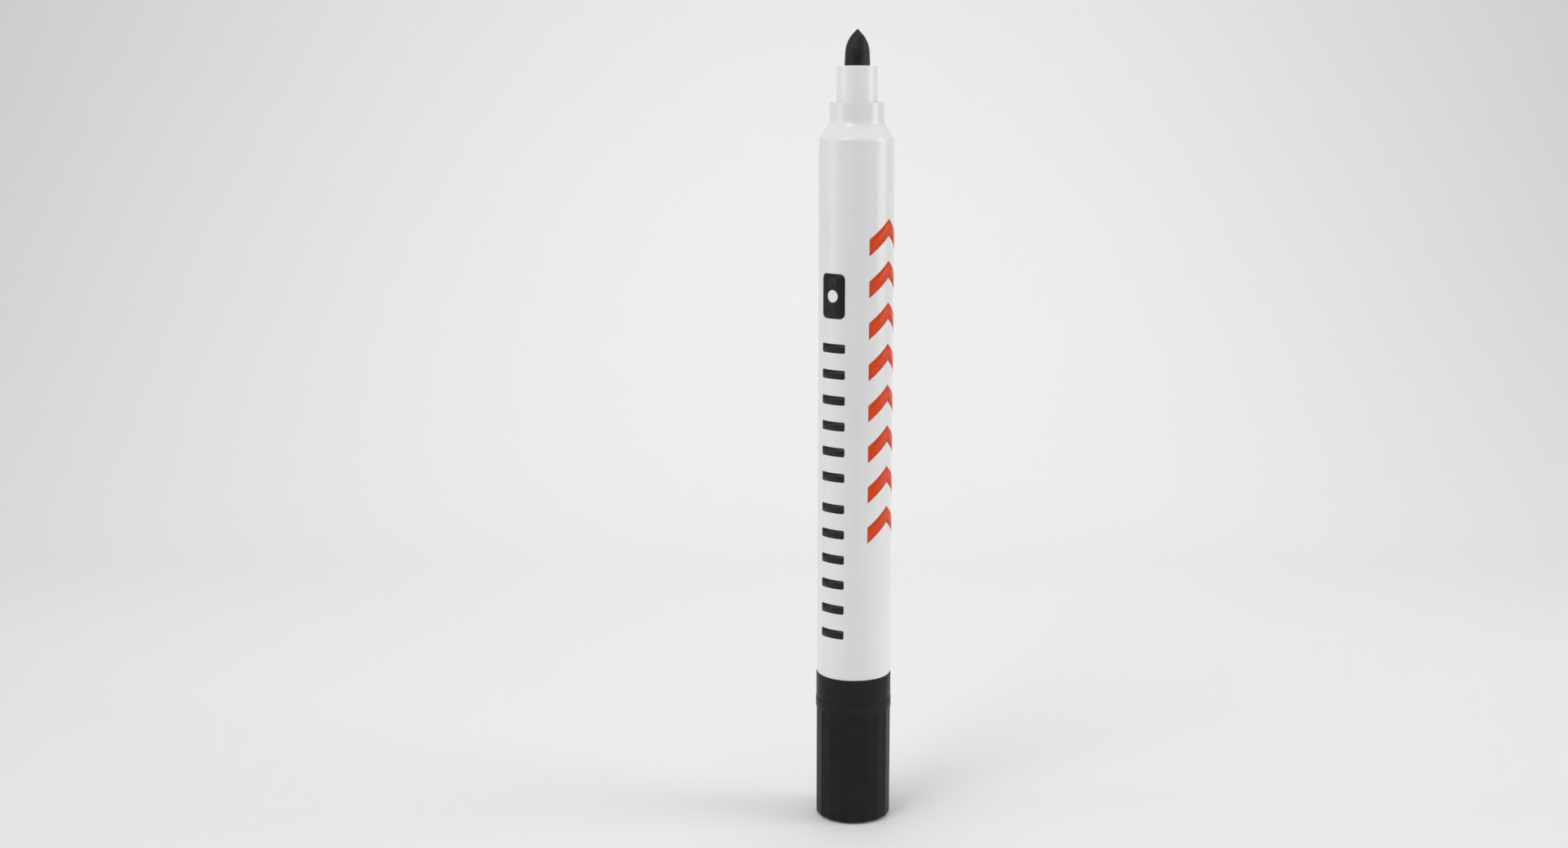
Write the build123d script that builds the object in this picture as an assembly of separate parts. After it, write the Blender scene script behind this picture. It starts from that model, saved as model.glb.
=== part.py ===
from build123d import *
import math
import os

# A round whiteboard marker with its cap pushed onto the tail plug.
# It stands on the cap's closed end: +Z runs from there to the writing tip.
# Millimetres; the origin is the centre of the surface that it stands on.

# ---------------------------------------------------------------- barrel
barrel_radius = 7.5
barrel_wall = 1.3
barrel_length = 108.93           # straight part, tail face to shoulder
tail_edge_round = 0.2
shoulder_angle = 34.0            # flank of the shoulder, measured from the axis
shoulder_round = 1.2             # bulge where the barrel turns into the shoulder
neck_round = 2.5                 # hollow where the shoulder turns into the neck
neck_straight_length = 3.97      # above the sharp corner between shoulder and neck
neck_edge_round = 0.15
neck_step = 1.34                 # neck outside the nib holder
neck_wall = 0.94
neck_lip = 1.0                   # height of the lip that stops the nib holder
barrel_rib_count = 6
barrel_rib_width = 0.8
barrel_rib_height = 0.75

# ---------------------------------------------------------------- nib and its holder
holder_face_width = 1.5          # rim round the nib at the holder's top
holder_draft = 0.05
holder_visible_length = 7.0
holder_edge_round = 0.2
holder_flange_height = 1.7
holder_spigot_length = 1.5       # below the flange, inside the barrel
holder_vent = 0.3                # air gap between the nib and the holder, between the ribs
holder_rib_count = 6
holder_rib_width = 0.9
nib_radius = 2.52
nib_exposed_length = 7.0
nib_draft = 0.12                 # how much the side narrows before the point
nib_point_length = 4.4
nib_cone_length = 1.1            # straight cone between the point's bow and the tip
nib_cone_radius = 1.13
nib_tip_radius = 0.3
nib_depth_in_reservoir = 5.7
nib_tail_taper_length = 4.0
nib_tail_radius = 0.9

# ---------------------------------------------------------------- tail plug
plug_step = 0.27                 # visible end inside the barrel's bore radius
plug_visible_length = 3.5
plug_edge_round = 1.0
plug_collar_length = 8.0
plug_bead_rise = 0.18
plug_bead_height = 0.6
plug_bead_count = 2
plug_bead_spacing = 3.4
plug_wall = 1.2
plug_finger_count = 4
plug_finger_length = 6.0
plug_finger_wall = 0.7
plug_finger_slot = 2.2

# ---------------------------------------------------------------- ink reservoir
film_thickness = 0.25

# ---------------------------------------------------------------- cap
cap_length = 30.2                # closed end face to rim, without the end boss
cap_boss_height = 0.4
cap_boss_radius = 3.9
cap_boss_bevel = 0.5
cap_band_proud = 0.16            # band outside the barrel's radius
cap_band_height = 5.15
cap_ring_proud = 0.08            # ring outside the band
cap_ring_height = 2.05
cap_ring_bevel = 0.06
cap_flat_count = 18
cap_flat_run_out = 0.2
cap_end_round = 0.4
cap_rim_round = 0.15
cap_wall = 0.95
cap_end_wall = 1.4
cap_rim_width = 0.5
cap_rib_count = 8
cap_rib_width = 1.0
cap_rib_top_depth = 1.2          # rim to the top of the ribs
cap_rib_lead = 0.4               # sloped lead-in at the top of each rib
cap_step_gap = 0.7               # tail plug's end to the step where the ribs grip the neck

# ---------------------------------------------------------------- seal cup in the cap
liner_wall = 0.8
liner_floor = 1.0
liner_mouth_gap = 0.8            # neck's top to the seal cup's mouth when the cap is on the nib
liner_lip_height = 1.2
liner_lip_lead = 0.35
liner_relief = 0.12
liner_socket_height = 3.0
liner_socket_wall = 0.8

# ---------------------------------------------------------------- clearances
slip_gap = 0.05                  # the cap on the tail plug and neck; the holder through the lip
press_gap = 0.02                 # pieces that are pushed together for good
seat_gap = 0.05                  # the barrel's tail face above the cap's rim
rib_gap = 0.05                   # ink reservoir between the barrel's ribs
end_gap = 0.05                   # pieces that meet end to end inside the barrel

# ---------------------------------------------------------------- radii that follow
bore_radius = barrel_radius - barrel_wall
rib_tip_radius = bore_radius - barrel_rib_height
film_radius = rib_tip_radius - rib_gap
core_radius = film_radius - film_thickness - press_gap
nib_grip_radius = nib_radius + press_gap
holder_bore_radius = nib_radius + holder_vent
holder_top_radius = nib_radius + holder_face_width
holder_base_radius = holder_top_radius + holder_draft
neck_radius = holder_base_radius + neck_step
neck_bore_radius = neck_radius - neck_wall
holder_flange_radius = rib_tip_radius - rib_gap
plug_radius = bore_radius - plug_step
plug_bead_radius = bore_radius - press_gap
plug_collar_radius = plug_bead_radius - plug_bead_rise
plug_finger_radius = rib_tip_radius - rib_gap
cap_band_radius = barrel_radius + cap_band_proud
cap_ring_radius = cap_band_radius + cap_ring_proud
cap_flat_radius = cap_band_radius * math.cos(math.pi / cap_flat_count)
cap_bore_radius = cap_flat_radius - cap_wall
cap_mouth_radius = cap_band_radius - cap_rim_width
plug_grip_radius = plug_radius + slip_gap
neck_grip_radius = neck_radius + slip_gap
liner_bore_radius = holder_base_radius + slip_gap
liner_radius = liner_bore_radius + liner_relief + liner_wall

# ---------------------------------------------------------------- heights that follow
flank = math.tan(math.radians(shoulder_angle))
cap_end_z = cap_boss_height
cap_rim_z = cap_end_z + cap_length
cap_floor_z = cap_end_z + cap_end_wall
cap_ring_top_z = cap_rim_z - cap_band_height
cap_ring_base_z = cap_ring_top_z - cap_ring_height
tail_z = cap_rim_z + seat_gap
shoulder_z = tail_z + barrel_length
neck_foot_z = shoulder_z + (barrel_radius - neck_radius) / flank
neck_top_z = neck_foot_z + neck_straight_length
holder_top_z = neck_top_z + holder_visible_length
tip_z = holder_top_z + nib_exposed_length
inner_shoulder_z = shoulder_z - barrel_wall / 2
inner_neck_z = inner_shoulder_z + (bore_radius - neck_bore_radius) / flank
holder_cone_z = inner_shoulder_z + (bore_radius - holder_flange_radius) / flank - end_gap
holder_flange_z = holder_cone_z - holder_flange_height
holder_tail_z = holder_flange_z - holder_spigot_length
nib_tail_z = holder_tail_z - nib_depth_in_reservoir
reservoir_top_z = holder_tail_z - end_gap
plug_end_z = tail_z - plug_visible_length
plug_collar_top_z = tail_z + plug_collar_length
plug_finger_top_z = plug_collar_top_z + plug_finger_length
reservoir_bottom_z = plug_finger_top_z + end_gap

tool_overrun = 1.0               # how far a cutting shape runs past what it cuts


def turned(points, rounds=None):
    """Solid turned about the axis from (radius, height) corners and their rounding radii."""
    radii = rounds or [0] * len(points)
    outline = FilletPolyline(*points, radius=radii, close=True)
    return revolve(Plane.XZ * make_face(outline), Axis.Z)


def disc(radius, low, high):
    """Plain cylinder on the axis between two heights."""
    return Pos(0, 0, low) * Cylinder(radius, high - low, align=(Align.CENTER, Align.CENTER, Align.MIN))


def ribs(count, width, inner, outer, low, high):
    """Straight ribs round the axis, from an inner to an outer radius."""
    bar = Pos((inner + outer) / 2, 0, (low + high) / 2) * Box(outer - inner, width, high - low)
    return [Rot(0, 0, 360 / count * turn) * bar for turn in range(count)]


# ---------------------------------------------------------------- pieces
def make_barrel():
    """Moulded tube with shoulder and neck, ribbed inside to hold the ink reservoir."""
    outside = turned(
        [(0, tail_z), (barrel_radius, tail_z), (barrel_radius, shoulder_z),
         (neck_radius, neck_foot_z), (neck_radius, neck_top_z), (0, neck_top_z)],
        [0, tail_edge_round, shoulder_round, neck_round, neck_edge_round, 0])
    lip_z = neck_top_z - neck_lip
    lip_radius = holder_base_radius + slip_gap
    inside = turned(
        [(0, tail_z - tool_overrun), (bore_radius, tail_z - tool_overrun),
         (bore_radius, inner_shoulder_z), (neck_bore_radius, inner_neck_z),
         (neck_bore_radius, lip_z), (lip_radius, lip_z),
         (lip_radius, neck_top_z + tool_overrun), (0, neck_top_z + tool_overrun)])
    rib_low = plug_collar_top_z + end_gap
    rib_high = inner_shoulder_z - holder_flange_height
    barrel = outside - inside
    for rib in ribs(barrel_rib_count, barrel_rib_width, rib_tip_radius,
                    bore_radius + barrel_wall / 2, rib_low, rib_high):
        barrel += rib
    return barrel


def make_nib_holder():
    """Sleeve that carries the nib; pushed in from behind until it meets the neck's lip."""
    stem_radius = neck_bore_radius - press_gap
    cone_top_z = holder_cone_z + (holder_flange_radius - stem_radius) / flank
    step_z = neck_top_z - neck_lip - press_gap
    holder = turned(
        [(0, holder_tail_z), (stem_radius, holder_tail_z), (stem_radius, holder_flange_z),
         (holder_flange_radius, holder_flange_z), (holder_flange_radius, holder_cone_z),
         (stem_radius, cone_top_z), (stem_radius, step_z), (holder_base_radius, step_z),
         (holder_base_radius, neck_top_z), (holder_top_radius, holder_top_z), (0, holder_top_z)],
        [0, 0, 0, 0, 0, 0, 0, 0, 0, holder_edge_round, 0])
    holder -= disc(holder_bore_radius, holder_tail_z - tool_overrun, holder_top_z + tool_overrun)
    for rib in ribs(holder_rib_count, holder_rib_width, nib_grip_radius - press_gap,
                    holder_bore_radius + holder_vent, holder_tail_z, holder_top_z - holder_edge_round):
        holder += rib
    return holder - disc(nib_grip_radius, holder_tail_z - tool_overrun, holder_top_z + tool_overrun)


def make_nib():
    """Felt rod: bullet point outside, drafted side, tapered tail inside the reservoir."""
    taper_z = nib_tail_z + nib_tail_taper_length
    point_z = tip_z - nib_point_length
    cone_z = tip_z - nib_cone_length
    nib_shoulder_radius = nib_radius - nib_draft
    side = Polyline((0, nib_tail_z), (nib_tail_radius, nib_tail_z), (nib_radius, taper_z),
                    (nib_radius, holder_top_z), (nib_shoulder_radius, point_z))
    draft = (nib_shoulder_radius - nib_radius, point_z - holder_top_z)
    bow = TangentArc((nib_shoulder_radius, point_z), (nib_cone_radius, cone_z), tangent=draft)
    apex_z = tip_z - nib_tip_radius
    lean = math.atan2(nib_cone_length - nib_tip_radius, nib_cone_radius)
    touch = (nib_tip_radius * math.sin(lean), apex_z + nib_tip_radius * math.cos(lean))
    cone = Line((nib_cone_radius, cone_z), touch)
    middle = (nib_tip_radius * math.sin(lean / 2), apex_z + nib_tip_radius * math.cos(lean / 2))
    tip = ThreePointArc(touch, middle, (0, tip_z))
    axis_line = Line((0, tip_z), (0, nib_tail_z))
    return revolve(Plane.XZ * make_face([side, bow, cone, tip, axis_line]), Axis.Z)


def make_tail_plug():
    """Hollow plug in the barrel's tail; its fingers hold the reservoir forward."""
    plug = turned(
        [(0, plug_end_z), (plug_radius, plug_end_z), (plug_radius, tail_z),
         (plug_collar_radius, tail_z), (plug_collar_radius, plug_collar_top_z),
         (0, plug_collar_top_z)],
        [0, plug_edge_round, 0, 0, 0, 0])
    for bead in range(plug_bead_count):
        bead_z = tail_z + plug_bead_spacing / 2 + bead * plug_bead_spacing
        plug += disc(plug_bead_radius, bead_z, bead_z + plug_bead_height)
    plug += disc(plug_finger_radius, plug_collar_top_z, plug_finger_top_z)
    hollow_radius = plug_finger_radius - plug_finger_wall
    plug -= disc(hollow_radius, plug_end_z + plug_wall, plug_finger_top_z + tool_overrun)
    slot = Box(bore_radius * 2, plug_finger_slot, plug_finger_length * 2)
    for turn in range(plug_finger_count // 2):
        plug -= Pos(0, 0, plug_finger_top_z) * Rot(0, 0, 360 / plug_finger_count * turn) * slot
    return plug


def reservoir_pocket():
    """Hollow that the nib's tail presses into the reservoir."""
    taper_z = nib_tail_z + nib_tail_taper_length
    return turned(
        [(0, nib_tail_z - end_gap), (nib_tail_radius + press_gap, nib_tail_z - end_gap),
         (nib_radius + press_gap, taper_z - end_gap),
         (nib_radius + press_gap, reservoir_top_z + tool_overrun),
         (0, reservoir_top_z + tool_overrun)])


def make_ink_reservoir():
    """Fibre rod that holds the ink."""
    return disc(core_radius, reservoir_bottom_z, reservoir_top_z) - reservoir_pocket()


def make_reservoir_film():
    """Plastic jacket round the fibre rod, open at both ends."""
    film = disc(film_radius, reservoir_bottom_z, reservoir_top_z)
    return film - disc(core_radius + press_gap, reservoir_bottom_z - tool_overrun,
                       reservoir_top_z + tool_overrun)


def cap_grip():
    """Outside of the cap's closed half: flats that run out before the ring."""
    flats_top_z = cap_ring_base_z - cap_flat_run_out
    prism = RegularPolygon(cap_flat_radius, cap_flat_count, major_radius=False,
                           rotation=180 / cap_flat_count)
    flats = extrude(Pos(0, 0, cap_end_z) * prism, flats_top_z - cap_end_z)
    run_out_rise = cap_band_radius - cap_flat_radius
    run_out_angle = math.degrees(math.atan(run_out_rise / cap_flat_run_out))
    run_out = extrude(Pos(0, 0, flats_top_z) * prism, cap_flat_run_out, taper=-run_out_angle)
    envelope = turned(
        [(0, cap_end_z), (cap_band_radius, cap_end_z),
         (cap_band_radius, cap_ring_base_z), (0, cap_ring_base_z)],
        [0, cap_end_round, 0, 0])
    return envelope & (flats + run_out)


def cap_collar():
    """Outside of the cap's open half: raised ring and plain band up to the rim."""
    ring_edge = cap_ring_radius - cap_ring_bevel
    return turned(
        [(0, cap_ring_base_z), (ring_edge, cap_ring_base_z),
         (cap_ring_radius, cap_ring_base_z + cap_ring_bevel),
         (cap_ring_radius, cap_ring_top_z - cap_ring_bevel), (ring_edge, cap_ring_top_z),
         (cap_band_radius, cap_ring_top_z), (cap_band_radius, cap_rim_z), (0, cap_rim_z)],
        [0, 0, 0, 0, 0, 0, cap_rim_round, 0])


def cap_hollow():
    """Space inside the cap: the bore less its ribs and less the socket for the seal cup."""
    mouth_depth = (cap_mouth_radius - cap_bore_radius) / flank
    over_z = cap_rim_z + tool_overrun
    hollow = turned(
        [(0, cap_floor_z), (cap_bore_radius, cap_floor_z),
         (cap_bore_radius, cap_rim_z - mouth_depth), (cap_mouth_radius, cap_rim_z),
         (cap_mouth_radius, over_z), (0, over_z)])
    rib_top_z = cap_rim_z - cap_rib_top_depth
    for rib in ribs(cap_rib_count, cap_rib_width, 0, cap_band_radius, cap_floor_z, rib_top_z):
        hollow -= rib
    neck_step_z = plug_end_z - cap_step_gap
    hollow += turned(
        [(0, cap_floor_z), (neck_grip_radius, cap_floor_z), (neck_grip_radius, neck_step_z),
         (plug_grip_radius, neck_step_z), (plug_grip_radius, rib_top_z - cap_rib_lead / flank),
         (plug_grip_radius + cap_rib_lead, rib_top_z), (0, rib_top_z)])
    socket_inner = liner_radius + press_gap
    socket_outer = socket_inner + liner_socket_wall
    socket_top_z = cap_floor_z + liner_socket_height
    socket = disc(socket_outer, cap_floor_z, socket_top_z) - disc(socket_inner, cap_floor_z, socket_top_z)
    return hollow - socket


def make_cap_shell():
    """Black cap: gripping flats, ring, band, end boss, ribbed bore and seal socket."""
    boss = turned(
        [(0, 0), (cap_boss_radius - cap_boss_bevel, 0), (cap_boss_radius, cap_end_z),
         (cap_boss_radius, cap_floor_z), (0, cap_floor_z)])
    return cap_grip() + cap_collar() + boss - cap_hollow()


def make_cap_liner():
    """Soft seal cup that closes round the nib holder when the cap is on the nib."""
    mouth_z = cap_rim_z - (neck_top_z - shoulder_z) - liner_mouth_gap
    relief_radius = liner_bore_radius + liner_relief
    lip_z = mouth_z - liner_lip_height
    return turned(
        [(0, cap_floor_z), (liner_radius, cap_floor_z), (liner_radius, mouth_z),
         (liner_bore_radius + liner_lip_lead, mouth_z), (liner_bore_radius, mouth_z - liner_lip_lead),
         (liner_bore_radius, lip_z), (relief_radius, lip_z - liner_relief),
         (relief_radius, cap_floor_z + liner_floor), (0, cap_floor_z + liner_floor)])


pieces = {
    "barrel": make_barrel,
    "nib_holder": make_nib_holder,
    "nib": make_nib,
    "tail_plug": make_tail_plug,
    "ink_reservoir": make_ink_reservoir,
    "reservoir_film": make_reservoir_film,
    "cap_shell": make_cap_shell,
    "cap_liner": make_cap_liner,
}

os.makedirs("parts", exist_ok=True)
for name, make in pieces.items():
    export_step(make(), f"parts/{name}.step")
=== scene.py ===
import math

import bmesh
import bpy
from bpy.props import FloatProperty, FloatVectorProperty, IntProperty, PointerProperty
from mathutils import Matrix, Vector


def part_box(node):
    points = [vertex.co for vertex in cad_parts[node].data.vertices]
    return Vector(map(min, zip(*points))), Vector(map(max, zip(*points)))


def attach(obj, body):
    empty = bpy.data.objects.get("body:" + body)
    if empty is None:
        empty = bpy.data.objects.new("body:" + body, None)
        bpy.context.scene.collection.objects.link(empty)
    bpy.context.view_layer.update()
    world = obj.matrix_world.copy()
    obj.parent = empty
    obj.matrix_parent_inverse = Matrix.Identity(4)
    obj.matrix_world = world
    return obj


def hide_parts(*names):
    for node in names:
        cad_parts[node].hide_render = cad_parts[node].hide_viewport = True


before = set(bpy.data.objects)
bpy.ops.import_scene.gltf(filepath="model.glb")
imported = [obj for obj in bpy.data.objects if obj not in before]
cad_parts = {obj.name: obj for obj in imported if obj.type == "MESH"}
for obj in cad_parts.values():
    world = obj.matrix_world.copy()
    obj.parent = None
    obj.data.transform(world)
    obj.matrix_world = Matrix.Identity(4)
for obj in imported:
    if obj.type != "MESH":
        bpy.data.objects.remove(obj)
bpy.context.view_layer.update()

bl_info = {
    "name": "Felt tip marker",
    "version": (1, 0, 0),
    "blender": (4, 5, 0),
    "location": "View3D > Sidebar > Marker",
    "description": "Finishes, cap and printed marks of a round felt tip marker, with its studio",
    "category": "Object",
}

MM = 0.001
NEAR = 1e-6                 # points closer than this count as being in one place
LEAD_SLOPE = 1.5            # height of a lead-in for its width
STEPS_PER_FLAT = 12         # faces across each flat of the cap
OUTER_SHARE = 0.9           # points past this share of the flats' radius are on the cap's outside
ARROW_RISE = 0.46           # part of an arrow's pitch that its arms climb
BAR_CORNER = 0.18           # part of a bar's thickness that rounds its corners
SWEEP_STEPS = 32            # faces along the curve from floor to wall
PRINT_CUT = 0.35 * MM       # widest strip of a printed mark, so that it follows the barrel
CAP_LOW, CAP_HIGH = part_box("cap_shell")
BARREL_LOW, BARREL_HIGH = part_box("barrel")
LINER_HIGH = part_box("cap_liner")[1]


# ---------------------------------------------------------------- sizes and colours
def length(name, description, default):
    """A length in metres that the sidebar shows with its unit."""
    return FloatProperty(name=name, description=description, default=default, min=0.0,
                         precision=5, unit="LENGTH")


def colour(name, description, default):
    """A linear colour with its swatch."""
    return FloatVectorProperty(name=name, description=description, default=default,
                               subtype="COLOR", size=3, min=0.0, max=1.0)


def share(name, description, default):
    """A number from 0 to 1."""
    return FloatProperty(name=name, description=description, default=default, min=0.0,
                         max=1.0, subtype="FACTOR")


def power(name, description, default):
    """Power of a light, in watts."""
    return FloatProperty(name=name, description=description, default=default, min=0.0,
                         precision=3, unit="POWER")


class MarkerFinishes(bpy.types.PropertyGroup):
    """Colours and gloss of the marker's plastics, felt and fibre."""
    barrel_colour: colour("Barrel", "Colour of the barrel's plastic", (0.80, 0.80, 0.80))
    holder_colour: colour("Nib holder", "Colour of the sleeve round the nib", (0.83, 0.83, 0.83))
    barrel_roughness: share("Barrel roughness", "Lower is glossier", 0.24)
    holder_roughness: share("Nib holder roughness", "Lower is glossier", 0.28)
    cap_colour: colour("Cap", "Colour of the cap and the tail plug", (0.0175, 0.0175, 0.0179))
    cap_roughness: share("Cap roughness", "Lower is glossier", 0.29)
    felt_colour: colour("Felt", "Colour of the inked nib", (0.0125, 0.0125, 0.013))
    liner_colour: colour("Seal cup", "Colour of the soft cup in the cap", (0.62, 0.62, 0.58))
    fibre_colour: colour("Reservoir", "Colour of the inked fibre", (0.02, 0.02, 0.023))


class MarkerCap(bpy.types.PropertyGroup):
    """Shape of the cap's outside and of its ribbed bore."""
    flat_count: IntProperty(name="Flats", description="Gripping flats round the cap",
                            default=18, min=6, max=36)
    boss_radius: length("Boss radius", "Raised disc on the closed end", 3.9 * MM)
    boss_bevel: length("Boss bevel", "Slope round the raised disc", 0.5 * MM)
    boss_height: length("Boss height", "Raised disc above the closed end", 0.4 * MM)
    end_round: length("End round", "Rounding of the closed end's edge", 0.4 * MM)
    band_radius: length("Band radius", "Plain band at the cap's open end", 7.66 * MM)
    band_height: length("Band height", "From the ring up to the rim", 5.15 * MM)
    ring_height: length("Ring height", "Raised ring between flats and band", 2.05 * MM)
    ring_edge: length("Ring edge", "Rounding of the raised ring", 0.04 * MM)
    groove: length("Groove", "Parting groove above the raised ring", 0.10 * MM)
    run_out: length("Run-out", "Height over which the flats fade into the band", 0.2 * MM)
    rim_round: length("Rim round", "Rounding of the rim", 0.15 * MM)
    small_round: length("Small round", "Rounding of the disc, the mouth and the socket", 0.12 * MM)
    corner_round: length("Corner round", "Rounding of the disc's inner corner", 0.10 * MM)
    rim_width: length("Rim width", "Flat rim before the mouth's lead-in", 0.5 * MM)
    wall: length("Wall", "Thickness of the wall behind the flats", 0.95 * MM)
    end_wall: length("End wall", "Thickness of the closed end", 1.4 * MM)
    rib_count: IntProperty(name="Ribs", description="Gripping ribs in the bore", default=8,
                           min=3, max=16)
    rib_width: length("Rib width", "Width of each gripping rib", 1.0 * MM)
    rib_depth: length("Rib depth", "Rim to the top of the ribs", 1.2 * MM)
    rib_lead: length("Rib lead-in", "Slope at the top of each rib", 0.4 * MM)
    rib_root: length("Rib root", "How far each rib is let into the bore", 0.3 * MM)
    rib_foot: length("Rib foot", "How far each rib is let into the floor", 0.2 * MM)
    plug_grip: length("Plug grip", "Radius between the ribs' upper halves", 5.98 * MM)
    neck_grip: length("Neck grip", "Radius between the ribs' lower halves", 5.46 * MM)
    neck_step: length("Neck step", "Rim to the step where the ribs get closer", 4.15 * MM)
    socket_height: length("Socket height", "Wall that holds the seal cup", 3.0 * MM)
    socket_wall: length("Socket wall", "Thickness of the wall that holds the seal cup", 0.8 * MM)


class MarkerPrint(bpy.types.PropertyGroup):
    """Plain printed marks on the barrel."""
    warm_ink: colour("Warm ink", "Colour of the bold arrows", (0.68, 0.052, 0.003))
    dark_ink: colour("Dark ink", "Colour of the bars and the panel", (0.009, 0.009, 0.010))
    film: length("Ink film", "Thickness of the printed ink", 0.02 * MM)
    arrow_count: IntProperty(name="Arrows", description="Bold arrows in the row", default=8,
                             min=1, max=12)
    arrow_low: length("Arrows' low end", "Height where the row of arrows starts", 58.7 * MM)
    arrow_high: length("Arrows' high end", "Height where the row of arrows ends", 124.6 * MM)
    arrow_width: length("Arrow width", "Arrow measured round the barrel", 9.9 * MM)
    arrow_stroke: length("Arrow stroke", "Thickness of each arrow's arms", 2.6 * MM)
    arrow_turn: FloatProperty(name="Arrows' side", description="Turn of the row from the front",
                              default=math.radians(56.3), subtype="ANGLE")
    bar_groups: IntProperty(name="Bar groups", description="Groups of plain bars", default=2,
                            min=1, max=6)
    bars_per_group: IntProperty(name="Bars in a group", description="Plain bars in each group",
                                default=6, min=1, max=20)
    bar_low: length("Bars' low end", "Height where the row of bars starts", 39.3 * MM)
    bar_high: length("Bars' high end", "Height where the row of bars ends", 99.5 * MM)
    bar_gap: length("Group gap", "Space between the two groups of bars", 4.6 * MM)
    bar_width: length("Bar width", "Bar measured round the barrel", 5.7 * MM)
    bar_stroke: length("Bar stroke", "Thickness of each bar", 1.8 * MM)
    bar_turn: FloatProperty(name="Bars' side", description="Turn of the row from the front",
                            default=math.radians(-39.9), subtype="ANGLE")
    panel_low: length("Panel's low end", "Height where the dark panel starts", 104.5 * MM)
    panel_high: length("Panel's high end", "Height where the dark panel ends", 113.4 * MM)
    panel_width: length("Panel width", "Panel measured round the barrel", 5.6 * MM)
    panel_round: length("Panel corner", "Rounding of the panel's corners", 1.1 * MM)
    panel_dot: length("Panel dot", "Radius of the bare dot in the panel", 1.25 * MM)


class MarkerStudio(bpy.types.PropertyGroup):
    """Camera, lights and backdrop."""
    camera_place: FloatVectorProperty(name="Camera", description="Where the camera stands",
                                      default=(-0.01435, -0.3947, 0.1534), subtype="XYZ",
                                      unit="LENGTH", precision=4)
    camera_pitch: FloatProperty(name="Pitch", description="Camera's turn from straight down",
                                default=math.radians(79.8), subtype="ANGLE")
    lens: FloatProperty(name="Lens", description="Focal length in millimetres",
                        default=45.5625, min=10.0, max=200.0, subtype="DISTANCE_CAMERA")
    backdrop_colour: colour("Backdrop", "Colour of the floor and the wall behind", (0.86, 0.86, 0.86))
    sweep_start: length("Sweep start", "Floor behind the marker before it curves up", 0.21)
    sweep_radius: length("Sweep radius", "Radius of the curve from floor to wall", 0.18)
    sweep_front: length("Sweep front", "Floor in front of the marker", 1.6)
    sweep_width: length("Sweep width", "Width of the floor and the wall", 4.8)
    sweep_height: length("Sweep height", "Wall above the curve", 2.2)
    top_power: power("Top light", "Power of the overhead softbox", 0.25)
    left_power: power("Left light", "Power of the left softbox", 0.2)
    right_power: power("Right light", "Power of the right softbox", 0.5)
    high_power: power("High left light", "Power of the raised softbox on the left", 0.4)
    wall_power: power("Wall light", "Power of the light on the backdrop", 0.4)
    ambient: FloatProperty(name="Ambient", description="Strength of the light from all round",
                           default=0.44, min=0.0)


# ---------------------------------------------------------------- shader building
class Wire:
    """One output socket of a material, which adds Math nodes when it is used in an expression."""

    def __init__(self, finish, socket):
        self.finish = finish
        self.socket = socket

    def math(self, operation, *values):
        """A Math node on this value and others."""
        return self.finish.node("ShaderNodeMath", {"operation": operation}, dict(enumerate(values)))

    def __add__(self, other):
        return self.math("ADD", self, other)

    def __sub__(self, other):
        return self.math("SUBTRACT", self, other)

    def __rsub__(self, other):
        return self.math("SUBTRACT", other, self)

    def __mul__(self, other):
        return self.math("MULTIPLY", self, other)

    __radd__ = __add__
    __rmul__ = __mul__

    def __abs__(self):
        return self.math("ABSOLUTE", self)

    def step(self, low, high):
        """0 below low, 1 above high and a smooth rise between them."""
        return self.finish.node(
            "ShaderNodeMapRange", {"interpolation_type": "SMOOTHSTEP"},
            {"Value": self, "From Min": low, "From Max": high})


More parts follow.
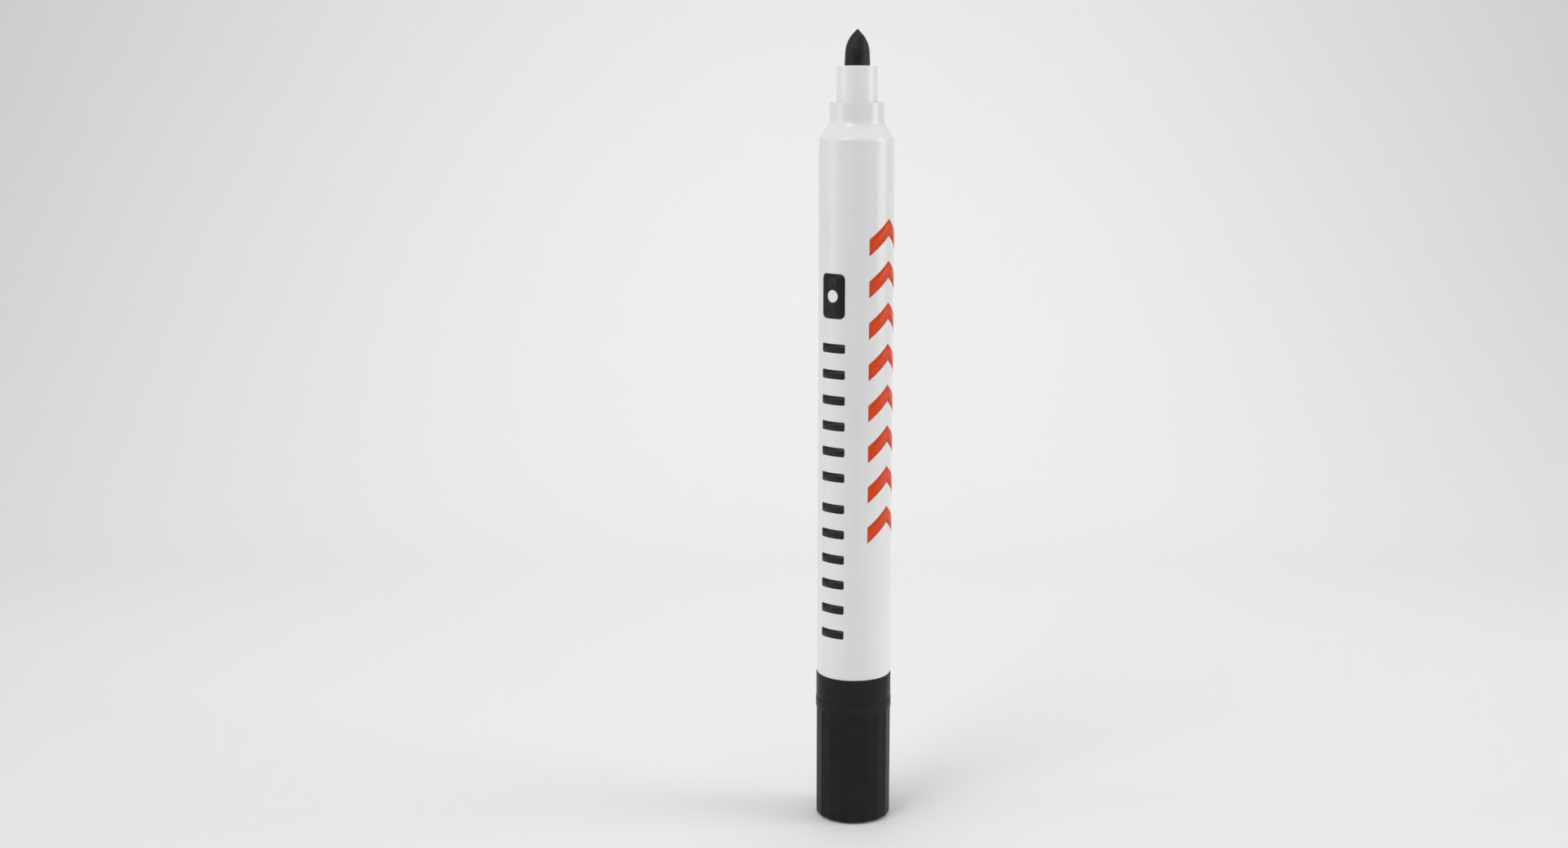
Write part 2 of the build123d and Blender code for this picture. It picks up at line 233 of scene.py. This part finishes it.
class Finish:
    """A procedural material on the piece's own coordinates, in millimetres."""

    def __init__(self, name, **constants):
        self.material = bpy.data.materials.new(name)
        self.material.use_nodes = True
        self.tree = self.material.node_tree
        self.shader = self.tree.nodes["Principled BSDF"]
        self.set(**constants)
        place = self.node("ShaderNodeTexCoord", {}, {}, "Object")
        self.place = self.node("ShaderNodeVectorMath", {"operation": "SCALE"},
                               {"Vector": place, "Scale": 1 / MM})

    def node(self, kind, settings, inputs, output=0):
        """Adds a node: its settings first, then its sockets' values or links."""
        made = self.tree.nodes.new(kind)
        for name, value in settings.items():
            setattr(made, name, value)
        for name, value in inputs.items():
            self.feed(made.inputs[name], value)
        return Wire(self, made.outputs[output])

    def feed(self, socket, value):
        """Links a wire to a socket, or sets the socket's own value."""
        if isinstance(value, Wire):
            self.tree.links.new(value.socket, socket)
        elif hasattr(value, "__len__") and len(value) == 3 and socket.type == "RGBA":
            socket.default_value = (*value, 1.0)
        else:
            socket.default_value = value

    def set(self, **sockets):
        """Feeds sockets of the main shader; an underscore stands for a space."""
        for name, value in sockets.items():
            self.feed(self.shader.inputs[name.replace("_", " ")], value)

    def noise(self, scale, detail=2.0, roughness=0.5, stretch=(1.0, 1.0, 1.0), distortion=0.0):
        """Noise of so many cells per millimetre, stretched along the axes if asked."""
        place = self.place
        if tuple(stretch) != (1.0, 1.0, 1.0):
            place = self.node("ShaderNodeMapping", {}, {"Vector": place, "Scale": stretch})
        return self.node("ShaderNodeTexNoise", {},
                         {"Vector": place, "Scale": scale, "Detail": detail,
                          "Roughness": roughness, "Distortion": distortion}, "Fac")

    def specks(self, scale, size):
        """Small round spots: 1 in each spot, 0 between them."""
        gap = self.node("ShaderNodeTexVoronoi", {}, {"Vector": self.place, "Scale": scale}, "Distance")
        return 1.0 - gap.step(size * 0.5, size)

    def height(self):
        """Height up the marker, in millimetres."""
        return self.node("ShaderNodeSeparateXYZ", {}, {"Vector": self.place}, "Z")

    def mix(self, factor, first, second):
        """A colour between two colours; a Mix node's colour sockets are told apart by number."""
        return self.node("ShaderNodeMix", {"data_type": "RGBA"}, {0: factor, 6: first, 7: second}, 2)

    def relief(self, *layers):
        """Bump from several (height, distance in millimetres) layers, coarse ones first."""
        normal = None
        for amount, distance in layers:
            inputs = {"Strength": 1.0, "Distance": distance * MM, "Height": amount}
            if normal is not None:
                inputs["Normal"] = normal
            normal = self.node("ShaderNodeBump", {}, inputs)
        self.set(Normal=normal)


def shaded(base, factor):
    """A colour made lighter or darker."""
    return tuple(min(1.0, channel * factor) for channel in base)


def moulded_white(name, base, roughness, joint_shade_height):
    """Satin white moulded plastic: orange-peel skin, faint flow bands, handling marks and painted shade
    near the joint with the next part.
    """
    finish = Finish(name, IOR=1.49, Specular_IOR_Level=0.5)
    cloud = finish.noise(0.09, 3.0, 0.55)
    bands = finish.noise(0.9, 2.0, 0.5, (1.0, 1.0, 0.05))
    skin = finish.noise(2.6, 3.0, 0.6)
    grain = finish.noise(11.0, 2.0, 0.5)
    scuffs = finish.noise(1.7, 4.0, 0.7, (1.0, 1.0, 6.0), 0.8).step(0.66, 0.76)
    tone = (cloud * 0.6 + bands * 0.4).step(0.3, 0.7)
    body = finish.mix(tone, shaded(base, 0.975), shaded(base, 1.015))
    # painted shade: the plastic is darkened in a narrow band round its joint with the next part, where
    # shade falls
    painted_joint_shade = 1.0 - abs(finish.height() - joint_shade_height).step(0.0, 1.6)
    body = finish.mix(painted_joint_shade * 0.10, body, shaded(base, 0.72))
    finish.set(Base_Color=finish.mix(scuffs * 0.05, body, shaded(base, 0.82)),
               Roughness=roughness + (cloud - 0.5) * 0.08 + (grain - 0.5) * 0.05 + scuffs * 0.10)
    finish.relief((bands, 0.004), (skin, 0.005), (grain, 0.0012), (scuffs, 0.0015))
    return finish.material


def moulded_black(name, base, roughness):
    """Satin black moulded plastic: fine spark-eroded grain, rubbed edges and dust."""
    finish = Finish(name, IOR=1.20, Specular_IOR_Level=0.3)
    cloud = finish.noise(0.22, 3.0, 0.6)
    grain = finish.noise(7.5, 3.0, 0.65)
    pits = finish.specks(4.2, 0.24)
    rub = finish.noise(1.1, 5.0, 0.75, (1.0, 1.0, 0.35), 0.6).step(0.56, 0.74)
    dust = finish.specks(1.15, 0.055)
    edge = finish.node("ShaderNodeNewGeometry", {}, {}, "Pointiness").step(0.515, 0.56)
    wear = edge * (0.35 + rub * 0.65)
    body = finish.mix(cloud.step(0.3, 0.7), shaded(base, 0.90), shaded(base, 1.12))
    body = finish.mix(wear * 0.35, body, shaded(base, 3.2))
    body = finish.mix(dust * 0.22, body, (0.16, 0.16, 0.155))
    finish.set(Base_Color=body,
               Roughness=(roughness + (cloud - 0.5) * 0.10 + (grain - 0.5) * 0.08
                          + rub * 0.05 + wear * 0.06))
    finish.relief((cloud, 0.004), (grain, 0.0035), (pits, 0.0010))
    return finish.material


def inked_felt(name, base):
    """Pressed felt soaked with ink: upright fibres, matted clumps and a few lighter hairs."""
    finish = Finish(name, IOR=1.40, Specular_IOR_Level=0.35)
    strands = finish.noise(7.0, 4.0, 0.7, (1.0, 1.0, 0.09), 0.5)
    clumps = finish.noise(1.6, 3.0, 0.6, (1.0, 1.0, 0.28), 0.7)
    fuzz = finish.noise(16.0, 2.0, 0.6, (1.0, 1.0, 0.35))
    hairs = finish.noise(9.5, 1.0, 0.5, (1.0, 1.0, 0.05), 1.2).step(0.66, 0.73)
    tone = (strands * 0.55 + clumps * 0.45).step(0.36, 0.62)
    body = finish.mix(tone, shaded(base, 0.2), shaded(base, 1.3))
    body = finish.mix(hairs * 0.5, body, shaded(base, 5.0))
    finish.set(Base_Color=body, Roughness=0.50 + (clumps - 0.5) * 0.25 + hairs * 0.1)
    finish.set(Sheen_Weight=0.08, Sheen_Roughness=0.45)
    finish.relief((clumps, 0.045), (strands, 0.03), (fuzz, 0.008))
    return finish.material


def soft_liner(name, base):
    """Natural soft polyethylene: milky, waxy and faintly mottled."""
    finish = Finish(name, IOR=1.51, Specular_IOR_Level=0.45, Subsurface_Weight=0.12)
    finish.set(Subsurface_Radius=(1.2 * MM, 1.1 * MM, 0.9 * MM), Subsurface_Scale=1.0)
    cloud = finish.noise(0.35, 3.0, 0.6)
    skin = finish.noise(3.4, 3.0, 0.6)
    body = finish.mix(cloud.step(0.3, 0.7), shaded(base, 0.92), shaded(base, 1.05))
    finish.set(Base_Color=body, Roughness=0.42 + (cloud - 0.5) * 0.12)
    finish.relief((cloud, 0.008), (skin, 0.004))
    return finish.material


def inked_fibre(name, base):
    """Bundled polyester fibre, drawn lengthways and soaked with ink."""
    finish = Finish(name, IOR=1.5, Specular_IOR_Level=0.4)
    strands = finish.noise(9.0, 4.0, 0.7, (1.0, 1.0, 0.02), 0.2)
    bundles = finish.noise(1.4, 2.0, 0.5, (1.0, 1.0, 0.03))
    tone = (strands * 0.7 + bundles * 0.3).step(0.35, 0.65)
    body = finish.mix(tone, shaded(base, 0.5), shaded(base, 2.2))
    finish.set(Base_Color=body, Roughness=0.55 + (strands - 0.5) * 0.2)
    finish.relief((bundles, 0.05), (strands, 0.03))
    return finish.material


def clear_film(name):
    """Thin drawn film with long faint draw lines."""
    finish = Finish(name, IOR=1.5, Alpha=0.55, Specular_IOR_Level=0.5)
    lines = finish.noise(3.0, 2.0, 0.5, (1.0, 1.0, 0.02))
    finish.set(Base_Color=finish.mix(lines, (0.70, 0.73, 0.78), (0.86, 0.88, 0.90)),
               Roughness=0.16 + (lines - 0.5) * 0.08)
    finish.relief((lines, 0.006))
    return finish.material


def printed_ink(name, base, lighter):
    """Screen-printed ink: even cover with tiny pinholes and a faint ripple."""
    finish = Finish(name, IOR=1.4, Specular_IOR_Level=0.35)
    cover = finish.noise(1.3, 3.0, 0.6)
    weave = finish.noise(6.5, 2.0, 0.5)
    pinholes = finish.specks(3.1, 0.10)
    body = finish.mix(cover.step(0.3, 0.7), shaded(base, 0.94), shaded(base, 1.06))
    body = finish.mix(pinholes * 0.25, body, lighter)
    finish.set(Base_Color=body, Roughness=0.33 + (weave - 0.5) * 0.10)
    finish.relief((cover, 0.0025), (weave, 0.0016))
    return finish.material


def studio_paper(name, base):
    """Seamless studio paper with a barely visible tooth."""
    finish = Finish(name, IOR=1.45, Specular_IOR_Level=0.2)
    cloud = finish.noise(0.012, 3.0, 0.5)
    tooth = finish.noise(1.8, 2.0, 0.6)
    finish.set(Base_Color=finish.mix(cloud, shaded(base, 0.99), shaded(base, 1.01)),
               Roughness=0.62 + (tooth - 0.5) * 0.06)
    finish.relief((tooth, 0.01))
    return finish.material


# ---------------------------------------------------------------- mesh building
def turned(outline, steps):
    """Surface spun about the axis from (radius, height) points; poles are merged."""
    mesh = bmesh.new()
    points = [mesh.verts.new((radius, 0.0, height)) for radius, height in outline]
    edges = [mesh.edges.new(pair) for pair in zip(points, points[1:])]
    bmesh.ops.spin(mesh, geom=points + edges, cent=(0, 0, 0), axis=(0, 0, 1),
                   angle=2 * math.pi, steps=steps, use_merge=True, use_duplicate=False)
    bmesh.ops.remove_doubles(mesh, verts=mesh.verts, dist=1e-7)
    bmesh.ops.recalc_face_normals(mesh, faces=mesh.faces)
    return mesh


def ring_edges(mesh, radius, height):
    """Edges of the circle with this radius at this height."""
    def on_circle(vert):
        return abs(vert.co.z - height) < NEAR and abs(vert.co.xy.length - radius) < NEAR
    return [edge for edge in mesh.edges if all(on_circle(vert) for vert in edge.verts)]


def round_ring(mesh, radius, height, size, segments):
    """Rounds the sharp circle at this radius and height."""
    edges = ring_edges(mesh, radius, height)
    if not edges:
        raise RuntimeError(f"no circle of radius {radius} at height {height} to round")
    bmesh.ops.bevel(mesh, geom=edges, offset=size, offset_type="OFFSET", segments=segments,
                    profile=0.5, affect="EDGES", clamp_overlap=True, material=-1)


def finished(mesh, name, material, body):
    """Makes an object from the mesh, in place, with one finish, riding on a body."""
    data = bpy.data.meshes.new(name)
    mesh.to_mesh(data)
    mesh.free()
    data.materials.append(material)
    data.polygons.foreach_set("use_smooth", [True] * len(data.polygons))
    piece = bpy.data.objects.new(name, data)
    bpy.context.scene.collection.objects.link(piece)
    if body:
        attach(piece, body)
    return piece


def weigh_normals(piece):
    """Keeps large faces flat beside their small rounded edges."""
    modifier = piece.modifiers.new("Flat faces", "WEIGHTED_NORMAL")
    modifier.mode = "FACE_AREA"
    modifier.weight = 80
    modifier.keep_sharp = True


def finish_node(node, material):
    """Gives a carried-over CAD node its finish."""
    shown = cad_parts[node]
    if not shown.material_slots:
        shown.data.materials.append(material)
    for slot in shown.material_slots:
        slot.material = material


def press_flats(mesh, count, inradius, low, high):
    """Moves the side's vertices between two heights in onto the gripping flats."""
    half = math.pi / count
    for vert in mesh.verts:
        if low - NEAR <= vert.co.z <= high + NEAR and vert.co.xy.length > inradius * OUTER_SHARE:
            angle = math.atan2(vert.co.y, vert.co.x) + math.pi / 2
            lean = (angle % (2 * half)) - half
            limit = inradius / math.cos(lean)
            reach = vert.co.xy.length
            vert.co.xy *= min(1.0, limit / reach)


# ---------------------------------------------------------------- operators
class MARKER_OT_barrel(bpy.types.Operator):
    """Finish the white barrel"""
    bl_idname = "marker.barrel"
    bl_label = "Barrel"

    def execute(self, context):
        finishes = context.scene.marker_finishes
        finish_node("barrel", moulded_white("Satin white plastic", tuple(finishes.barrel_colour),
                                            finishes.barrel_roughness, BARREL_LOW.z / MM))
        return {"FINISHED"}


class MARKER_OT_nib_end(bpy.types.Operator):
    """Finish the nib holder and the felt nib"""
    bl_idname = "marker.nib_end"
    bl_label = "Nib and holder"

    def execute(self, context):
        finishes = context.scene.marker_finishes
        finish_node("nib_holder", moulded_white("Satin white sleeve", tuple(finishes.holder_colour),
                                                finishes.holder_roughness, BARREL_HIGH.z / MM))
        finish_node("nib", inked_felt("Inked felt", tuple(finishes.felt_colour)))
        return {"FINISHED"}


class MARKER_OT_inside(bpy.types.Operator):
    """Finish the tail plug, the ink reservoir, its film and the seal cup"""
    bl_idname = "marker.inside"
    bl_label = "Plug, reservoir and seal cup"

    def execute(self, context):
        finishes = context.scene.marker_finishes
        finish_node("tail_plug", moulded_black("Satin black plug", tuple(finishes.cap_colour),
                                               finishes.cap_roughness))
        finish_node("ink_reservoir", inked_fibre("Inked fibre", tuple(finishes.fibre_colour)))
        finish_node("reservoir_film", clear_film("Reservoir film"))
        finish_node("cap_liner", soft_liner("Soft milky plastic", tuple(finishes.liner_colour)))
        return {"FINISHED"}


class MARKER_OT_cap(bpy.types.Operator):
    """Build the cap with softened ridges between its flats, ring, band and ribbed bore"""
    bl_idname = "marker.cap"
    bl_label = "Cap"

    def execute(self, context):
        size = context.scene.marker_cap
        finishes = context.scene.marker_finishes
        end = CAP_LOW.z + size.boss_height
        rim = CAP_HIGH.z
        floor = end + size.end_wall
        ring_top = rim - size.band_height
        ring_low = ring_top - size.ring_height
        ring_radius = CAP_HIGH.x
        groove_radius = size.band_radius - size.groove / 2
        groove_top = ring_top + size.groove
        inradius = size.band_radius * math.cos(math.pi / size.flat_count)
        bore = inradius - size.wall
        mouth = size.band_radius - size.rim_width
        flats_top = ring_low - size.run_out
        socket_in = LINER_HIGH.x
        socket_out = socket_in + size.socket_wall
        socket_top = floor + size.socket_height
        outline = [
            (0.0, CAP_LOW.z), (size.boss_radius - size.boss_bevel, CAP_LOW.z),
            (size.boss_radius, end), (size.band_radius, end),
            (size.band_radius, end + size.end_round * LEAD_SLOPE), (size.band_radius, flats_top),
            (size.band_radius, ring_low), (ring_radius, ring_low), (ring_radius, ring_top),
            (groove_radius, ring_top), (groove_radius, groove_top),
            (size.band_radius, groove_top), (size.band_radius, rim), (mouth, rim),
            (bore, rim - (mouth - bore) * LEAD_SLOPE), (bore, floor), (socket_out, floor),
            (socket_out, socket_top), (socket_in, socket_top), (socket_in, floor), (0.0, floor)]
        mesh = turned(outline, size.flat_count * STEPS_PER_FLAT)
        turn = Matrix.Rotation(-math.pi / 2, 4, "Z")
        bmesh.ops.transform(mesh, matrix=turn, verts=mesh.verts)
        press_flats(mesh, size.flat_count, inradius, end, flats_top)
        for radius, height, amount, segments in (
                (size.boss_radius - size.boss_bevel, CAP_LOW.z, size.small_round, 3),
                (size.boss_radius, end, size.corner_round, 2),
                (ring_radius, ring_low, size.ring_edge, 2),
                (ring_radius, ring_top, size.ring_edge, 2),
                (size.band_radius, rim, size.rim_round, 3),
                (mouth, rim, size.small_round, 2),
                (socket_out, socket_top, size.small_round, 2)):
            round_ring(mesh, radius, height, amount, segments)
        end_edges = [edge for edge in mesh.edges
                     if all(abs(vert.co.z - end) < NEAR and vert.co.xy.length > inradius - NEAR
                            for vert in edge.verts)]
        bmesh.ops.bevel(mesh, geom=end_edges, offset=size.end_round, offset_type="OFFSET",
                        segments=4, profile=0.5, affect="EDGES", clamp_overlap=True, material=-1)
        for index in range(size.rib_count):
            self.add_rib(mesh, size, floor, rim, bore, index)
        bmesh.ops.recalc_face_normals(mesh, faces=mesh.faces)
        cap = finished(mesh, "cap_body", moulded_black("Satin black cap", tuple(finishes.cap_colour),
                                                       finishes.cap_roughness), "cap")
        weigh_normals(cap)
        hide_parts("cap_shell")
        return {"FINISHED"}

    def add_rib(self, mesh, size, floor, rim, bore, index):
        """One gripping rib, let into the bore and the floor, with its step and its lead-in."""
        top = rim - size.rib_depth
        root = bore + size.rib_root
        foot = floor - size.rib_foot
        step = rim - size.neck_step
        side = [(root, foot), (size.neck_grip, foot), (size.neck_grip, step), (size.plug_grip, step),
                (size.plug_grip, top - size.rib_lead * LEAD_SLOPE),
                (size.plug_grip + size.rib_lead, top), (root, top)]
        corners = [mesh.verts.new((radius, -size.rib_width / 2, height)) for radius, height in side]
        face = mesh.faces.new(corners)
        grown = bmesh.ops.extrude_face_region(mesh, geom=[face])
        moved = [item for item in grown["geom"] if isinstance(item, bmesh.types.BMVert)]
        bmesh.ops.translate(mesh, verts=moved, vec=(0.0, size.rib_width, 0.0))
        spin = Matrix.Rotation(2 * math.pi * index / size.rib_count, 4, "Z")
        bmesh.ops.transform(mesh, matrix=spin, verts=corners + moved)


class MARKER_OT_print(bpy.types.Operator):
    """Print the plain arrows, bars and panel on the barrel"""
    bl_idname = "marker.print_marks"
    bl_label = "Printed marks"

    def execute(self, context):
        size = context.scene.marker_print
        finishes = context.scene.marker_finishes
        warm = printed_ink("Warm printed ink", tuple(size.warm_ink), tuple(finishes.barrel_colour))
        dark = printed_ink("Dark printed ink", tuple(size.dark_ink), tuple(finishes.barrel_colour))
        arrows = bmesh.new()
        pitch = (size.arrow_high - size.arrow_low) / size.arrow_count
        for index in range(size.arrow_count):
            self.add_arrow(arrows, size, size.arrow_low + pitch * index, pitch)
        self.lay_on(arrows, size.arrow_turn, size.film)
        finished(arrows, "print_arrows", warm, "marker")
        bars = bmesh.new()
        group = (size.bar_high - size.bar_low - size.bar_gap * (size.bar_groups - 1)) / size.bar_groups
        step = (group - size.bar_stroke) / max(1, size.bars_per_group - 1)
        for number in range(size.bar_groups):
            start = size.bar_low + number * (group + size.bar_gap)
            for index in range(size.bars_per_group):
                low = start + index * step
                self.add_panel(bars, size.bar_width, low, low + size.bar_stroke,
                               size.bar_stroke * BAR_CORNER)
        self.lay_on(bars, size.bar_turn, size.film)
        finished(bars, "print_bars", dark, "marker")
        panel = bmesh.new()
        self.add_panel(panel, size.panel_width, size.panel_low, size.panel_high, size.panel_round,
                       size.panel_dot)
        self.lay_on(panel, size.bar_turn, size.film)
        finished(panel, "print_panel", dark, "marker")
        return {"FINISHED"}

    def add_arrow(self, mesh, size, low, pitch):
        """Flat arrow head of two arms that points at the nib, drawn in the X and Z plane."""
        half = size.arrow_width / 2
        rise = pitch * ARROW_RISE
        arm = size.arrow_stroke * math.hypot(half, rise) / half
        foot = low + (pitch - rise - arm) / 2
        corners = [(-half, foot), (0.0, foot + rise), (half, foot), (half, foot + arm),
                   (0.0, foot + rise + arm), (-half, foot + arm)]
        verts = [mesh.verts.new((across, 0.0, up)) for across, up in corners]
        mesh.faces.new([verts[0], verts[1], verts[4], verts[5]])
        mesh.faces.new([verts[1], verts[2], verts[3], verts[4]])

    def add_panel(self, mesh, width, low, high, corner, dot=0.0):
        """Flat plate with rounded corners, with a round hole if asked."""
        middle = (low + high) / 2
        made = bmesh.ops.create_grid(mesh, x_segments=1, y_segments=1, size=0.5)
        spread = (Matrix.Translation((0.0, 0.0, middle)) @ Matrix.Rotation(math.pi / 2, 4, "X")
                  @ Matrix.Diagonal((width, high - low, 1.0, 1.0)))
        bmesh.ops.transform(mesh, matrix=spread, verts=made["verts"])
        bmesh.ops.bevel(mesh, geom=made["verts"], offset=corner, offset_type="OFFSET", segments=6,
                        profile=0.5, affect="VERTICES", clamp_overlap=True, material=-1)
        if dot:
            plate = max(mesh.faces, key=lambda face: face.calc_area())
            rim = list(plate.edges)
            bmesh.ops.delete(mesh, geom=[plate], context="FACES_ONLY")
            hole = bmesh.ops.create_circle(mesh, cap_ends=False, segments=len(rim), radius=dot)
            turn = Matrix.Translation((0.0, 0.0, middle)) @ Matrix.Rotation(math.pi / 2, 4, "X")
            bmesh.ops.transform(mesh, matrix=turn, verts=hole["verts"])
            inner = list({edge for vert in hole["verts"] for edge in vert.link_edges})
            bmesh.ops.bridge_loops(mesh, edges=rim + inner)

    def lay_on(self, mesh, turn, film):
        """Wraps flat shapes round the barrel and gives them the ink's thickness."""
        radius = BARREL_HIGH.x
        reach = max(abs(vert.co.x) for vert in mesh.verts)
        cuts = int(reach / PRINT_CUT)
        for index in range(-cuts, cuts + 1):
            bmesh.ops.bisect_plane(mesh, geom=mesh.verts[:] + mesh.edges[:] + mesh.faces[:],
                                   plane_co=(index * PRINT_CUT, 0, 0), plane_no=(1, 0, 0), dist=1e-7)
        bmesh.ops.recalc_face_normals(mesh, faces=mesh.faces)
        if sum(face.normal.y for face in mesh.faces) > 0:
            bmesh.ops.reverse_faces(mesh, faces=mesh.faces)
        for vert in mesh.verts:
            angle = turn + vert.co.x / radius
            vert.co.x = radius * math.sin(angle)
            vert.co.y = -radius * math.cos(angle)
        grown = bmesh.ops.extrude_face_region(mesh, geom=mesh.faces[:], use_keep_orig=True)
        raised = [item for item in grown["geom"] if isinstance(item, bmesh.types.BMVert)]
        for vert in raised:
            vert.co.xy *= (radius + film) / radius
        for vert in set(mesh.verts) - set(raised):
            vert.co.xy *= (radius - film) / radius
        bmesh.ops.recalc_face_normals(mesh, faces=mesh.faces)


class MARKER_OT_studio(bpy.types.Operator):
    """Set up the pale sweep, the softboxes and the camera"""
    bl_idname = "marker.studio"
    bl_label = "Studio"

    def execute(self, context):
        studio = context.scene.marker_studio
        self.add_sweep(studio)
        middle = Vector((0.0, 0.0, 0.08))
        wall = Vector((0.0, 0.39, 0.14))
        for name, place, aim, size, spread, strength in (
                ("Top softbox", (0.0, -0.15, 0.9), (0.0, -0.15, 0.0), (1.5, 0.8), 115, studio.top_power),
                ("Left softbox", (-0.56, -0.12, 0.24), middle, (0.30, 0.45), 100, studio.left_power),
                ("Right softbox", (0.56, -0.08, 0.24), middle, (0.32, 0.45), 100, studio.right_power),
                ("High left softbox", (-0.30, -0.34, 0.55), middle, (0.3, 0.3), 100, studio.high_power),
                ("Wall light", (0.0, 0.05, 0.60), wall, (0.25, 0.15), 120, studio.wall_power)):
            self.add_softbox(name, place, aim, size, spread, strength)
        world = bpy.data.worlds.new("Studio")
        world.use_nodes = True
        ambient = world.node_tree.nodes["Background"].inputs
        ambient["Color"].default_value = (1.0, 1.0, 1.0, 1.0)
        ambient["Strength"].default_value = studio.ambient
        context.scene.world = world
        camera = bpy.data.cameras.new("Camera")
        camera.lens = studio.lens
        camera.sensor_width = 36.0
        camera.clip_start = 0.01
        camera.clip_end = 20.0
        seat = bpy.data.objects.new("Camera", camera)
        seat.location = studio.camera_place
        seat.rotation_euler = (studio.camera_pitch, 0.0, 0.0)
        context.scene.collection.objects.link(seat)
        context.scene.camera = seat
        context.scene.view_settings.view_transform = "Standard"
        return {"FINISHED"}

    def add_sweep(self, studio):
        """Floor that curves up into a wall, as one smooth surface."""
        reach = studio.sweep_width / 2
        mesh = bmesh.new()
        front = mesh.verts.new((-reach, -studio.sweep_front, 0.0))
        start = mesh.verts.new((-reach, studio.sweep_start, 0.0))
        mesh.edges.new((front, start))
        centre = (-reach, studio.sweep_start, studio.sweep_radius)
        curve = bmesh.ops.spin(mesh, geom=[start], cent=centre, axis=(1, 0, 0), angle=math.pi / 2,
                               steps=SWEEP_STEPS, use_duplicate=False)
        last = [item for item in curve["geom_last"] if isinstance(item, bmesh.types.BMVert)]
        top = bmesh.ops.extrude_vert_indiv(mesh, verts=last)["verts"]
        bmesh.ops.translate(mesh, verts=top, vec=(0.0, 0.0, studio.sweep_height))
        grown = bmesh.ops.extrude_edge_only(mesh, edges=mesh.edges[:])
        moved = [item for item in grown["geom"] if isinstance(item, bmesh.types.BMVert)]
        bmesh.ops.translate(mesh, verts=moved, vec=(studio.sweep_width, 0.0, 0.0))
        bmesh.ops.recalc_face_normals(mesh, faces=mesh.faces)
        if sum(face.normal.z for face in mesh.faces) < 0:
            bmesh.ops.reverse_faces(mesh, faces=mesh.faces)
        paper = studio_paper("Studio paper", tuple(studio.backdrop_colour))
        sweep = finished(mesh, "studio_sweep", paper, None)

    def add_softbox(self, name, place, aim, size, spread, strength):
        """Rectangular area light that faces a point, with a grid that narrows its spread."""
        light = bpy.data.lights.new(name, "AREA")
        light.shape = "RECTANGLE"
        light.size, light.size_y = size
        light.spread = math.radians(spread)
        light.energy = strength
        lamp = bpy.data.objects.new(name, light)
        lamp.location = place
        lamp.rotation_euler = (Vector(aim) - Vector(place)).to_track_quat("-Z", "Y").to_euler()
        bpy.context.scene.collection.objects.link(lamp)


class MARKER_PT_sidebar(bpy.types.Panel):
    """Sizes, colours and steps of the felt tip marker"""
    bl_idname = "MARKER_PT_sidebar"
    bl_label = "Felt tip marker"
    bl_space_type = "VIEW_3D"
    bl_region_type = "UI"
    bl_category = "Marker"

    def draw(self, context):
        groups = {
            "marker_finishes": (MARKER_OT_barrel, MARKER_OT_nib_end, MARKER_OT_inside),
            "marker_cap": (MARKER_OT_cap,),
            "marker_print": (MARKER_OT_print,),
            "marker_studio": (MARKER_OT_studio,),
        }
        for name, operators in groups.items():
            box = self.layout.box()
            settings = getattr(context.scene, name)
            for field in settings.bl_rna.properties:
                if field.identifier not in {"rna_type", "name"}:
                    box.prop(settings, field.identifier)
            for operator in operators:
                box.operator(operator.bl_idname)


SETTINGS = {
    "marker_finishes": MarkerFinishes,
    "marker_cap": MarkerCap,
    "marker_print": MarkerPrint,
    "marker_studio": MarkerStudio,
}
STEPS = (MARKER_OT_barrel, MARKER_OT_nib_end, MARKER_OT_inside, MARKER_OT_cap, MARKER_OT_print,
         MARKER_OT_studio)


def register():
    """Adds the settings, the steps and the sidebar to Blender."""
    for group in SETTINGS.values():
        bpy.utils.register_class(group)
    for name, group in SETTINGS.items():
        setattr(bpy.types.Scene, name, PointerProperty(type=group))
    for step in STEPS:
        bpy.utils.register_class(step)
    bpy.utils.register_class(MARKER_PT_sidebar)


def unregister():
    """Takes them out again."""
    bpy.utils.unregister_class(MARKER_PT_sidebar)
    for step in reversed(STEPS):
        bpy.utils.unregister_class(step)
    for name, group in SETTINGS.items():
        delattr(bpy.types.Scene, name)
        bpy.utils.unregister_class(group)


def main():
    """Builds everything."""
    register()
    for step in STEPS:
        area, name = step.bl_idname.split(".")
        getattr(getattr(bpy.ops, area), name)()


if __name__ == "__main__":
    main()
